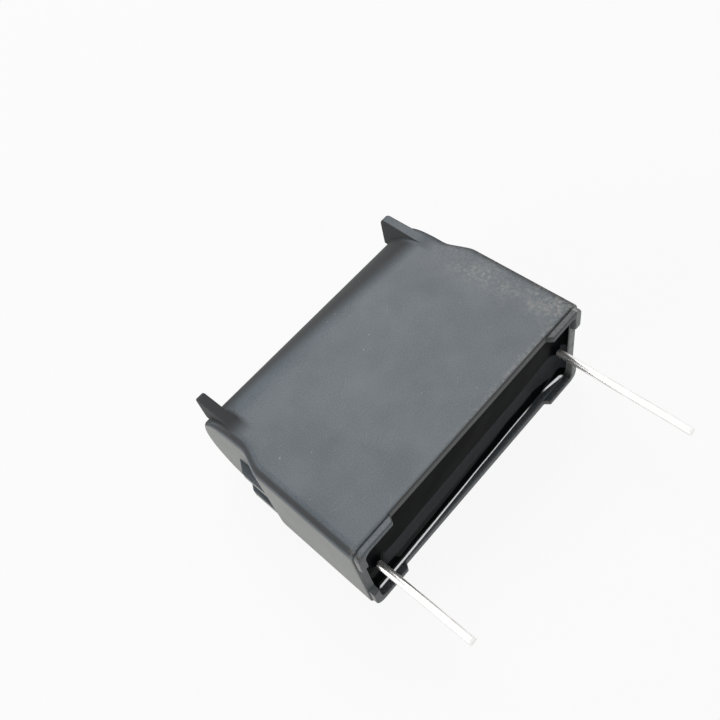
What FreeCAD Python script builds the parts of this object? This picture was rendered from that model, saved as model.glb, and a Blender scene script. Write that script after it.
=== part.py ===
"""Potted film capacitor: a moulded box with an arched back, four ears and two radial leads.

The frame: X runs along the case, Y from the potting rim towards the arched back, Z up through
the thickness. The part lies on one broad side, so Z = 0 is the surface that it rests on. A
height, here, is measured along +Y from the plane of the four feet, where a board would be.
"""

import FreeCAD
import Part
import math
import os

from FreeCAD import Vector

# Leads, whose pitch sets the length of everything else
LEAD_PITCH = 27.5
LEAD_DIAMETER = 0.8
NEAR_LEAD_REACH = 10.1      # beyond the feet, at the -X end
FAR_LEAD_REACH = 13.7       # beyond the feet, at the +X end
LEAD_TOP_GAP = 1.3          # from the inner end of the wire up to the ledge
LEAD_TIP_CHAMFER = 0.12
FLAT_THICKNESS = 0.4        # the hidden part of the wire, which is flattened
FLAT_WIDTH = 0.76
FLAT_EDGE_RADIUS = 0.15
LEAD_SINK = 0.1             # how far the flat part is let into the sprayed metal
LEAD_HIDDEN = 0.05          # how much of the round part the drawn-out resin covers

# Case, outside
CASE_THICKNESS = 13.0       # along Z, between the two broad sides
CASE_HEIGHT = 23.0          # along Y, from the feet to the top of the arched back
CORNER_RADIUS = 1.2         # the four upright corners
ARCH_RISE = 6.0             # the arched back, from its shoulders to its top
ARCH_EDGE_ROUND = 0.35      # where the arched back meets the end walls
LOWER_DRAFT = 0.2           # taper of an end wall, from the rim to the ledge
LEDGE_HEIGHT = 12.9         # where the sloping ledge starts
LEDGE_RISE = 2.5
LEDGE_STEP = 1.0            # how far an end wall steps in over its ledge

# Case, inside
SIDE_WALL = 1.0
END_WALL = 0.9
ARCH_WALL = 1.1
INNER_CORNER_RADIUS = 0.8

# Ears that stand beside the arched back
EAR_SETBACK = 0.9           # from the end wall to the ear's outer face
EAR_THICKNESS = 1.0
EAR_REACH = 3.9             # from the broad side inwards
EAR_DRAFT = 0.1             # each face, from the top of the ear to its root
EAR_CORNER_RADIUS = 0.7
EAR_ROOT = 1.5              # how far the ear runs down past the arch's shoulder

# Ribs that cross the ledge of each end wall
RIB_COUNT = 2
RIB_WIDTH = 1.1
RIB_PITCH = 4.0
RIB_SHIFT = -0.6            # the pair's middle, from the middle of the wall
RIB_SHOULDER = 0.6          # how far the outer face stands above the ledge
RIB_SLOPE_RISE = 1.4        # the sloping top of the rib
RIB_ROOT = 0.5              # how far a rib is sunk into the wall

# Feet on the potting rim, one round each corner
FOOT_HEIGHT = 0.6
FOOT_LENGTH = 4.6           # along the broad side
FOOT_RETURN = 3.2           # along the end wall
FOOT_SETBACK = 0.2          # from the wall's outer face
FOOT_SLANT = 0.5            # how much further a foot runs at its root

# Winding and its end contacts
WINDING_SIDE_GAP = 0.7      # resin between the wrapped winding and a broad side
WINDING_COVER = 1.6         # resin between the flat pour and the wrapped winding
WINDING_HEADROOM = 1.0      # resin between the wrapped winding and the arched back
WINDING_END_GAP = 0.25      # resin between a sprayed contact and the narrow end wall
WRAP_THICKNESS = 0.3
SPRAY_THICKNESS = 0.6

# Solder beads that hold the wires on the sprayed contacts
BEAD_DROP = 2.2             # below the inner end of the wire
BEAD_RADIUS = 1.6
BEAD_TOP_RADIUS = 0.9
BEAD_COVER = 0.2            # solder over the outer side of the wire

# Poured resin
RESIN_BELOW_RIM = 0.1       # the wetted edge, below the rim between the feet
MENISCUS_RADIUS = 0.45
MENISCUS_EDGE = 0.06        # thickness of that wetted edge
WICK_RADIUS = 0.35          # resin drawn out along each wire
WICK_ROOT = 0.3             # how far the drawn-out collar is rooted in the pour

# Places and sizes that several pieces share
SPARE = 3.0                 # how far a cutting tool reaches past what it cuts
TOUCH = 0.0001              # two places nearer than this are the same place
ENDS = (-1, 1)              # towards -X, towards +X
SIDES = (-1, 1)             # towards Z = 0, away from it
CORNERS = [(end, side) for end in ENDS for side in SIDES]
MID_Z = CASE_THICKNESS / 2
RIM_Y = (max(NEAR_LEAD_REACH, FAR_LEAD_REACH) - CASE_HEIGHT) / 2
LEDGE_TOP = LEDGE_HEIGHT + LEDGE_RISE
SPRAY_FACE = LEAD_PITCH / 2 - FLAT_THICKNESS / 2 + LEAD_SINK
BAND_HALF_LENGTH = SPRAY_FACE + WINDING_END_GAP + END_WALL
LEDGE_HALF_LENGTH = BAND_HALF_LENGTH + LEDGE_STEP
CASE_LENGTH = 2 * (LEDGE_HALF_LENGTH + LOWER_DRAFT)
INNER_THICKNESS = CASE_THICKNESS - 2 * SIDE_WALL
RESIN_DEPTH = FOOT_HEIGHT + RESIN_BELOW_RIM + MENISCUS_RADIUS
LEAD_TOP = LEDGE_HEIGHT - LEAD_TOP_GAP
LEAD_ROUND_TOP = RESIN_DEPTH - WICK_RADIUS + LEAD_HIDDEN
WRAP_HALF_THICKNESS = INNER_THICKNESS / 2 - WINDING_SIDE_GAP
WRAP_BOTTOM = RESIN_DEPTH + WINDING_COVER
WRAP_TOP = CASE_HEIGHT - ARCH_WALL - WINDING_HEADROOM


def place(x, height, z):
    """A point from its X, its height above the feet and its Z."""
    return Vector(x, RIM_Y + height, z)


def prism(edges, direction):
    """The solid that a closed outline sweeps along a direction."""
    return Part.Face(Part.Wire(edges)).extrude(direction)


def polygon_prism(points, direction):
    """The solid that a straight-sided outline sweeps along a direction."""
    return prism(Part.makePolygon(points + points[:1]).Edges, direction)


def rounded_section(length, thickness, radius, height):
    """A rectangle with round corners, level with the rim and centred in the case."""
    x, z = length / 2 - radius, thickness / 2 - radius
    turns = [(x, z, 0), (-x, z, 90), (-x, -z, 180), (x, -z, 270)]
    arcs = []
    for centre_x, centre_z, start in turns:
        through = [
            place(
                centre_x + radius * math.cos(math.radians(start + turn)),
                height,
                MID_Z + centre_z + radius * math.sin(math.radians(start + turn)),
            )
            for turn in (0, 45, 90)
        ]
        arcs.append(Part.Arc(*through).toShape())
    edges = []
    for arc, following in zip(arcs, arcs[1:] + arcs[:1]):
        edges.append(arc)
        edges.append(Part.makeLine(arc.lastVertex().Point, following.firstVertex().Point))
    return Part.Wire(edges)


def corner_waste(levels, half, radius, end, side):
    """What a round upright corner leaves out of the stepped block, at one of its corners."""
    shift = radius * math.cos(math.radians(45))

    def corner(x, height, inward_x, inward_z):
        return place(end * (x - inward_x), height, MID_Z + side * (half - inward_z))

    sections = []
    for height, x in levels:
        start, finish = corner(x, height, 0, radius), corner(x, height, radius, 0)
        through = corner(x, height, radius - shift, radius - shift)
        outside = [
            corner(x, height, radius, -SPARE),
            corner(x, height, -SPARE, -SPARE),
            corner(x, height, -SPARE, radius),
        ]
        arc = Part.Arc(start, through, finish).toShape()
        sides = Part.makePolygon([finish] + outside + [start]).Edges
        sections.append(Part.Wire([arc] + sides))
    return Part.makeLoft(sections, True, True)


def stepped_block(bottom, end_wall, side_wall, radius):
    """The stepped and drafted block of the case, moved in by the thickness of its walls."""
    levels = [
        (bottom, CASE_LENGTH / 2 - end_wall),
        (LEDGE_HEIGHT, LEDGE_HALF_LENGTH - end_wall),
        (LEDGE_TOP, BAND_HALF_LENGTH - end_wall),
        (CASE_HEIGHT + SPARE, BAND_HALF_LENGTH - end_wall),
    ]
    half = CASE_THICKNESS / 2 - side_wall
    right = [place(x, height, MID_Z - half) for height, x in levels]
    left = [place(-x, height, MID_Z - half) for height, x in reversed(levels)]
    block = polygon_prism(right + left, Vector(0, 0, 2 * half))
    waste = [corner_waste(levels, half, radius, end, side) for end, side in CORNERS]
    return block.cut(waste)


def under_arch(half_width, rise, top, edge_round):
    """The space under an arch that crosses the broad sides half_width from the middle.

    The arch is a barrel along X, whose two rims may be round. The straight part ends just
    under the shoulders, where the barrel is wider than the arch.
    """
    radius = (half_width**2 + rise**2) / (2 * rise)
    centre = top - radius
    start = place(-BAND_HALF_LENGTH, centre, MID_Z)
    barrel = Part.makeCylinder(radius, 2 * BAND_HALF_LENGTH, start, Vector(1, 0, 0))
    if edge_round:
        rims = [edge for edge in barrel.Edges if edge.Closed]
        barrel = barrel.makeFillet(edge_round, rims)
    reach = (half_width + radius) / 2
    spring = centre + math.sqrt(radius**2 - reach**2)
    corner = place(-CASE_LENGTH, -2 * SPARE, -CASE_THICKNESS)
    below = Part.makeBox(2 * CASE_LENGTH, spring + 2 * SPARE, 3 * CASE_THICKNESS, corner)
    return barrel.fuse(below)


def arched_body():
    """The outside of the case without its ears, ribs and feet."""
    block = stepped_block(FOOT_HEIGHT, 0, 0, CORNER_RADIUS)
    arch = under_arch(CASE_THICKNESS / 2, ARCH_RISE, CASE_HEIGHT, ARCH_EDGE_ROUND)
    return block.common(arch)


def cavity():
    """The inside of the case, open past the plane of the feet."""
    block = stepped_block(-SPARE, END_WALL, SIDE_WALL, INNER_CORNER_RADIUS)
    rise, top = ARCH_RISE - SIDE_WALL, CASE_HEIGHT - ARCH_WALL
    return block.common(under_arch(INNER_THICKNESS / 2, rise, top, 0))


def edges_where(shape, test):
    """The edges of a shape whose two ends both pass a test."""
    return [
        edge for edge in shape.Edges if all(test(vertex.Point) for vertex in edge.Vertexes)
    ]


def ear(end, side):
    """One ear, at the -X or +X end (end -1 or 1) and on the lower or upper side (-1 or 1)."""
    outer = BAND_HALF_LENGTH - EAR_SETBACK
    inner = outer - EAR_THICKNESS
    root = CASE_HEIGHT - ARCH_RISE - EAR_ROOT
    flank = MID_Z + side * CASE_THICKNESS / 2
    plate = polygon_prism(
        [
            place(end * inner, CASE_HEIGHT, flank),
            place(end * outer, CASE_HEIGHT, flank),
            place(end * (outer + EAR_DRAFT), root, flank),
            place(end * (inner - EAR_DRAFT), root, flank),
        ],
        Vector(0, 0, -side * EAR_REACH),
    )
    top = RIM_Y + CASE_HEIGHT
    corner = edges_where(
        plate, lambda point: abs(point.y - top) < TOUCH and abs(point.z - flank) < TOUCH
    )
    return plate.makeFillet(EAR_CORNER_RADIUS, corner)


def rib(end, number):
    """One rib over the ledge, its outer face in line with the wall below the ledge."""
    taper = LOWER_DRAFT / (LEDGE_HEIGHT - FOOT_HEIGHT)
    shoulder = LEDGE_TOP + RIB_SHOULDER
    face = LEDGE_HALF_LENGTH - taper * (shoulder - LEDGE_HEIGHT)
    inside = BAND_HALF_LENGTH - RIB_ROOT
    top = shoulder + RIB_SLOPE_RISE
    z = MID_Z + RIB_SHIFT + (number - (RIB_COUNT - 1) / 2) * RIB_PITCH - RIB_WIDTH / 2
    return polygon_prism(
        [
            place(end * inside, LEDGE_HEIGHT, z),
            place(end * LEDGE_HALF_LENGTH, LEDGE_HEIGHT, z),
            place(end * face, shoulder, z),
            place(end * BAND_HALF_LENGTH, top, z),
            place(end * inside, top, z),
        ],
        Vector(0, 0, RIB_WIDTH),
    )


def foot(end, side):
    """One corner's foot: a low lip in from the wall's outer face, with slanted ends."""
    outline = rounded_section(
        CASE_LENGTH - 2 * FOOT_SETBACK,
        CASE_THICKNESS - 2 * FOOT_SETBACK,
        CORNER_RADIUS - FOOT_SETBACK,
        0,
    )
    lip = Part.Face(outline).extrude(Vector(0, FOOT_HEIGHT, 0))
    bounds = []
    for height, slant in ((0, 0), (FOOT_HEIGHT, FOOT_SLANT)):
        far_x, near_x = CASE_LENGTH, CASE_LENGTH / 2 - FOOT_LENGTH - slant
        far_z, near_z = CASE_THICKNESS, CASE_THICKNESS / 2 - FOOT_RETURN - slant
        corners = [(near_x, near_z), (far_x, near_z), (far_x, far_z), (near_x, far_z)]
        points = [place(end * x, height, MID_Z + side * z) for x, z in corners]
        bounds.append(Part.makePolygon(points + points[:1]))
    return lip.common(Part.makeLoft(bounds, True, True))


def moulded_case(hollow):
    """The black box: arched body, ears, ribs and feet, hollowed for the winding."""
    ears = [ear(end, side) for end, side in CORNERS]
    ribs = [rib(end, number) for end in ENDS for number in range(RIB_COUNT)]
    feet = [foot(end, side) for end, side in CORNERS]
    return arched_body().fuse(ears + ribs + feet).cut(hollow).removeSplitter()


def roll(half_length, half_thickness, bottom, top):
    """A flattened roll along X with round edges, its axis in the middle of the case."""
    low, high = bottom + half_thickness, top - half_thickness
    x = -half_length
    lower = Part.Arc(
        place(x, low, MID_Z + half_thickness),
        place(x, bottom, MID_Z),
        place(x, low, MID_Z - half_thickness),
    ).toShape()
    upper = Part.Arc(
        place(x, high, MID_Z - half_thickness),
        place(x, top, MID_Z),
        place(x, high, MID_Z + half_thickness),
    ).toShape()
    edges = [
        lower,
        Part.makeLine(lower.lastVertex().Point, upper.firstVertex().Point),
        upper,
        Part.makeLine(upper.lastVertex().Point, lower.firstVertex().Point),
    ]
    return prism(edges, Vector(2 * half_length, 0, 0))


def wrapped_roll(half_length, layer):
    """The roll that is left when a layer is taken off the outside of the wrapped winding."""
    return roll(half_length, WRAP_HALF_THICKNESS - layer, WRAP_BOTTOM + layer, WRAP_TOP - layer)


def film_winding():
    """The flattened roll of metallised film."""
    return wrapped_roll(SPRAY_FACE - SPRAY_THICKNESS, WRAP_THICKNESS)


def outer_wrap(wires):
    """The plain film round the winding and its sprayed ends, dented where the wires cross."""
    inside = wrapped_roll(2 * SPRAY_FACE, WRAP_THICKNESS)
    return wrapped_roll(SPRAY_FACE, 0).cut([inside] + wires)


def end_spray(end, wire):
    """The metal sprayed on one end of the winding, with the groove that its wire lies in."""
    inner_face = SPRAY_FACE - SPRAY_THICKNESS
    core = wrapped_roll(SPRAY_FACE, WRAP_THICKNESS)
    slab = Part.makeBox(SPRAY_THICKNESS, 2 * CASE_HEIGHT, 2 * CASE_THICKNESS)
    start = inner_face if end > 0 else -SPRAY_FACE
    slab.translate(place(start, 0, -CASE_THICKNESS / 2))
    return core.common(slab).cut(wire)


def lead(end, reach):
    """One tinned wire, round up to the resin and flattened from there to its inner end."""
    x = end * LEAD_PITCH / 2
    start, along = place(x, -reach, MID_Z), Vector(0, 1, 0)
    outer = Part.makeCylinder(LEAD_DIAMETER / 2, reach + LEAD_ROUND_TOP, start, along)
    tip = edges_where(outer, lambda point: abs(point.y - start.y) < TOUCH)
    outer = outer.makeChamfer(LEAD_TIP_CHAMFER, tip)
    outline = rounded_section(FLAT_THICKNESS, FLAT_WIDTH, FLAT_EDGE_RADIUS, LEAD_ROUND_TOP)
    strip = Part.Face(outline).extrude(Vector(0, LEAD_TOP - LEAD_ROUND_TOP, 0))
    strip.translate(Vector(x, 0, 0))
    return outer.fuse(strip)


def solder_bead(end, wire):
    """The domed spot of solder that holds one wire on its sprayed metal."""
    height = FLAT_THICKNESS - LEAD_SINK + BEAD_COVER
    spot = Part.makeCone(
        BEAD_RADIUS,
        BEAD_TOP_RADIUS,
        height,
        place(end * SPRAY_FACE, LEAD_TOP - BEAD_DROP, MID_Z),
        Vector(end, 0, 0),
    )
    return spot.cut(wire)


def wick(end):
    """The resin drawn out along one wire, as a collar with a hollow flare."""
    inner = LEAD_DIAMETER / 2 + MENISCUS_EDGE
    outer = inner + WICK_RADIUS
    tip = RESIN_DEPTH - WICK_RADIUS
    diagonal = WICK_RADIUS * math.sin(math.radians(45))
    x = end * LEAD_PITCH / 2
    flare = Part.Arc(
        place(x + outer, RESIN_DEPTH, MID_Z),
        place(x + outer - diagonal, tip + diagonal, MID_Z),
        place(x + inner, tip, MID_Z),
    ).toShape()
    back = [
        place(x + inner, tip, MID_Z),
        place(x, tip, MID_Z),
        place(x, RESIN_DEPTH + WICK_ROOT, MID_Z),
        place(x + outer, RESIN_DEPTH + WICK_ROOT, MID_Z),
        place(x + outer, RESIN_DEPTH, MID_Z),
    ]
    section = Part.Face(Part.Wire([flare] + Part.makePolygon(back).Edges))
    return section.revolve(place(x, 0, MID_Z), Vector(0, 1, 0), 360)


def air_over_resin():
    """The air in the mouth of the case, down to the flat pour, with a round lower edge."""
    length = CASE_LENGTH - 2 * (END_WALL + MENISCUS_EDGE)
    thickness = INNER_THICKNESS - 2 * MENISCUS_EDGE
    outline = rounded_section(length, thickness, INNER_CORNER_RADIUS, -SPARE)
    air = Part.Face(outline).extrude(Vector(0, SPARE + RESIN_DEPTH, 0))
    level = RIM_Y + RESIN_DEPTH
    edge = edges_where(air, lambda point: abs(point.y - level) < TOUCH)
    return air.makeFillet(MENISCUS_RADIUS, edge)


def potting_resin(hollow, sealed):
    """The resin that fills the case round the sealed pieces, with wetted edges."""
    wetted = place(-CASE_LENGTH, FOOT_HEIGHT + RESIN_BELOW_RIM, -CASE_THICKNESS)
    filled = Part.makeBox(2 * CASE_LENGTH, CASE_HEIGHT, 3 * CASE_THICKNESS, wetted)
    pour = hollow.common(filled).cut(air_over_resin())
    return pour.fuse([wick(-1), wick(1)]).cut(sealed).removeSplitter()


def build():
    """All the pieces of the capacitor, by name."""
    hollow = cavity()
    near, far = lead(-1, NEAR_LEAD_REACH), lead(1, FAR_LEAD_REACH)
    pieces = {
        "lead_near": near,
        "lead_far": far,
        "film_winding": film_winding(),
        "outer_wrap": outer_wrap([near, far]),
        "end_spray_near": end_spray(-1, near),
        "end_spray_far": end_spray(1, far),
        "solder_bead_near": solder_bead(-1, near),
        "solder_bead_far": solder_bead(1, far),
    }
    pieces["potting_resin"] = potting_resin(hollow, list(pieces.values()))
    pieces["case"] = moulded_case(hollow)
    return pieces


os.makedirs("parts", exist_ok=True)
for name, shape in build().items():
    shape.exportStep(f"parts/{name}.step")
    print(f"{name}: {len(shape.Solids)} solid, {shape.Volume:.1f} mm3, valid {shape.isValid()}")
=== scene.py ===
"""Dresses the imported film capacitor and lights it.

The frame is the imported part's own: X runs along the case, Y from the potting rim towards the
arched back and Z up, with the part lying on one broad side. Sizes are in millimetres and turn
into metres as each mesh is made.
"""

import logging
import math
from dataclasses import dataclass, replace
from enum import Enum
from typing import Iterable, Sequence

import bmesh
import bpy
from mathutils import Matrix, Vector, noise

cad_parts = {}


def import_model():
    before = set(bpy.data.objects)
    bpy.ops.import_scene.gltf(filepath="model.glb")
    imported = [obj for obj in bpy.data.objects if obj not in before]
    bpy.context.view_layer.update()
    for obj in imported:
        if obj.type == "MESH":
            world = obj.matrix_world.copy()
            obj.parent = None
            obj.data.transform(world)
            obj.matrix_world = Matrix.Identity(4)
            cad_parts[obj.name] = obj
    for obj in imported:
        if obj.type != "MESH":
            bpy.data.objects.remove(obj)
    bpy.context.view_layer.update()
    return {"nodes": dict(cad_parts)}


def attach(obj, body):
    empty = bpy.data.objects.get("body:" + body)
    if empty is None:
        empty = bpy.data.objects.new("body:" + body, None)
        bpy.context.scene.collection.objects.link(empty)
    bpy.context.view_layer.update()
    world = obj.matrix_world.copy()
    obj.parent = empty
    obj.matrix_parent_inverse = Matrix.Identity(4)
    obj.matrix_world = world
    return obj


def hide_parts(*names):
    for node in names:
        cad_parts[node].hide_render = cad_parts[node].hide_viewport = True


MM = 0.001
BODY = "root"

log = logging.getLogger("capacitor")

Colour = tuple[float, float, float]
Span = tuple[float, float]
Place = tuple[float, float, float]
Socket = bpy.types.NodeSocket
Material = bpy.types.Material
Vertex = bmesh.types.BMVert


class End(Enum):
    """The two ends of the case, by the sign of X."""

    NEAR = -1
    FAR = 1


class Side(Enum):
    """The two broad sides of the case, by the sign of Z from its middle."""

    LOWER = -1
    UPPER = 1


class Slot(Enum):
    """The record's material slots that the new pieces fill."""

    CASE = "case_plastic"
    RESIN = "potting_epoxy"
    WIRE = "tinned_wire"


class Tone(Enum):
    """Which part of a texture's value is spread before it is used."""

    SOFT = (0.30, 0.70)
    FIRM = (0.42, 0.62)
    PATCHES = (0.50, 0.66)
    SPECKS = (0.765, 0.79)
    HAIRS = (0.80, 0.83)


class Measure(Enum):
    """What a zone goes by: places in millimetres, or how far the surface faces one way.

    Each has an output of the Texture Coordinate node, an axis, and whether its sign is dropped.
    """

    X = ("Object", "X", False)
    Y = ("Object", "Y", False)
    Z = ("Object", "Z", False)
    OUTWARD = ("Object", "X", True)
    UPWARD = ("Normal", "Z", False)
    ENDWARD = ("Normal", "X", True)
    SIDEWARD = ("Normal", "Z", True)


@dataclass(frozen=True)
class Zone:
    """A span of one measure, over which a mask turns from its low value to its high one."""

    measure: Measure
    start: float
    stop: float
    low: float = 0.0
    high: float = 1.0


Zones = tuple[Zone, ...]


@dataclass(frozen=True)
class Noise:
    """A noise texture.

    It has lumps to a millimetre, a number of finer layers and their strength. A stretch gives
    the texture units to a millimetre along X, Y and Z of a grid turned round Z by some degrees.
    """

    per_mm: float = 1.0
    detail: float = 3.0
    rough: float = 0.5
    stretch: Place | None = None
    turn: float = 0.0


class Graph:
    """Adds and joins the nodes of a material or of the world."""

    def __init__(self, owner: Material | bpy.types.World) -> None:
        """Starts the nodes.

        Args:
            owner: The material or world that they belong to.
        """
        owner.use_nodes = True
        self.owner = owner
        self.nodes = owner.node_tree.nodes
        self.links = owner.node_tree.links

    def feed(self, target: Socket, value: Socket | float | Sequence[float]) -> None:
        """Gives an input a number, some numbers or another node's output.

        Args:
            target: The input.
            value: What it is given.
        """
        if isinstance(value, Socket):
            self.links.new(value, target)
        else:
            target.default_value = value

    def add(self, kind: str, output: str | int, inputs: dict, **settings: str) -> Socket:
        """Adds a node.

        Args:
            kind: Its type, without the words that every type starts with.
            output: Which of its outputs is wanted.
            inputs: What its inputs are given, by name or number.
            settings: The node's own settings.

        Returns:
            The output.
        """
        node = self.nodes.new(f"ShaderNode{kind}")
        for name, value in settings.items():
            setattr(node, name, value)
        for name, value in inputs.items():
            self.feed(node.inputs[name], value)
        return node.outputs[output]

    def _fold(self, operation: str, values: Sequence[Socket | float]) -> Socket:
        """Takes values together, two by two.

        Args:
            operation: The operation of Blender's Math node.
            values: The values, of which the first one is an output.

        Returns:
            The result.
        """
        result = values[0]
        for value in values[1:]:
            result = self.add("Math", "Value", {0: result, 1: value}, operation=operation)
        return result

    def plus(self, *values: Socket | float) -> Socket:
        """Some values added up."""
        return self._fold("ADD", values)

    def less(self, *values: Socket | float) -> Socket:
        """The first value with the others taken away from it."""
        return self._fold("SUBTRACT", values)

    def times(self, *values: Socket | float) -> Socket:
        """The product of some values."""
        return self._fold("MULTIPLY", values)

    def most(self, *values: Socket | float) -> Socket:
        """The largest of some values."""
        return self._fold("MAXIMUM", values)

    def size(self, value: Socket) -> Socket:
        """A value without its sign."""
        return self._fold("ABSOLUTE", (value, 0.0))

    def whiten(self, plain: Socket, white: Socket, share: float, target: Socket) -> None:
        """Shows plain white to the camera, also in a mirror or through glass.

        Args:
            plain: What lights the object.
            white: The plain white.
            share: How much of what is seen is plain white.
            target: Where the mixture goes.
        """
        path = self.nodes.new("ShaderNodeLightPath").outputs
        rays = ("Is Camera Ray", "Is Glossy Ray", "Is Transmission Ray")
        seen = self.most(*(path[name] for name in rays))
        inputs = {"Fac": self.times(seen, share), 1: plain, 2: white}
        self.feed(target, self.add("MixShader", "Shader", inputs))


class Finish(Graph):
    """The nodes of one new material, whose textures are laid out in millimetres."""

    def __init__(self, name: str, **values: float | tuple) -> None:
        """Starts the material.

        Args:
            name: Its name.
            values: Values of the shader's own sockets, with underscores for spaces.
        """
        super().__init__(bpy.data.materials.new(name))
        self.shader = self.nodes["Principled BSDF"]
        for socket, value in values.items():
            self.feed(self.shader.inputs[socket.replace("_", " ")], value)
        self.places = self.nodes.new("ShaderNodeTexCoord").outputs
        inputs = {"Vector": self.places["Object"], "Scale": (1 / MM,) * 3}
        self.millimetres = self.add("Mapping", "Vector", inputs)

    def cloud(self, kind: Noise) -> Socket:
        """Adds a noise texture.

        Args:
            kind: What the noise is like.

        Returns:
            Its value, from 0 to 1.
        """
        inputs = {"Vector": self.millimetres}
        if kind.stretch is not None:
            inputs["Scale"] = [1 / value for value in kind.stretch]
            inputs["Rotation"] = (0.0, 0.0, math.radians(kind.turn))
            inputs = {"Vector": self.add("Mapping", "Vector", inputs, vector_type="TEXTURE")}
        inputs |= {"Scale": kind.per_mm, "Detail": kind.detail, "Roughness": kind.rough}
        return self.add("TexNoise", "Fac", inputs)

    def measure(self, measure: Measure) -> Socket:
        """Measures the surface.

        Args:
            measure: What is measured.

        Returns:
            Millimetres in the row frame, or from -1 to 1 how far the surface faces one way.
        """
        output, axis, unsigned = measure.value
        source = self.millimetres if output == "Object" else self.places[output]
        value = self.add("SeparateXYZ", axis, {"Vector": source})
        return self.size(value) if unsigned else value

    def spread(
        self, value: Socket, part: Tone | Span, low: float = 0.0, high: float = 1.0
    ) -> Socket:
        """Spreads a part of a value with eased ends.

        Args:
            value: The value, such as a texture's or a place along an axis.
            part: Where the spread part starts and ends.
            low: The result at that part's start and before.
            high: The result at its end and after.

        Returns:
            The new value.
        """
        start, stop = part.value if isinstance(part, Tone) else part
        inputs = {"Value": value, "From Min": start, "From Max": stop}
        inputs |= {"To Min": low, "To Max": high}
        return self.add("MapRange", "Result", inputs, interpolation_type="SMOOTHSTEP")

    def mask(self, *zones: Zone) -> Socket:
        """The product of what some zones give."""
        parts = [(self.measure(z.measure), (z.start, z.stop), z.low, z.high) for z in zones]
        return self.times(*(self.spread(*part) for part in parts))

    def blend(self, amount: Socket, low: Colour | Socket, high: Colour | Socket) -> Socket:
        """Blends two colours.

        Args:
            amount: 0 for the low colour and 1 for the high one.
            low: A colour, or the output of an earlier blend.
            high: The other one.

        Returns:
            The blended colour.
        """
        inputs = {"Factor": amount}
        for number, colour in ((6, low), (7, high)):
            inputs[number] = colour if isinstance(colour, Socket) else (*colour, 1.0)
        return self.add("Mix", 2, inputs, data_type="RGBA")

    def bump(
        self, height: Socket, depth: float, strength: float, under: Socket | None = None
    ) -> Socket:
        """Adds relief.

        Args:
            height: The texture that gives the relief.
            depth: Its depth in millimetres.
            strength: How much of it shows, from 0 to 1.
            under: The normal of a coarser relief that this one lies on.

        Returns:
            The bumped normal.
        """
        inputs = {"Height": height, "Distance": depth * MM, "Strength": strength}
        if under is not None:
            inputs["Normal"] = under
        return self.add("Bump", "Normal", inputs)

    def finish(self, colour: Socket, roughness: Socket, normal: Socket) -> Material:
        """Joins the finished textures to the shader.

        Args:
            colour: The base colour.
            roughness: The roughness.
            normal: The bumped normal.

        Returns:
            The material.
        """
        outputs = {"Base Color": colour, "Roughness": roughness, "Normal": normal}
        for name, output in outputs.items():
            self.feed(self.shader.inputs[name], output)
        return self.owner


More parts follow.
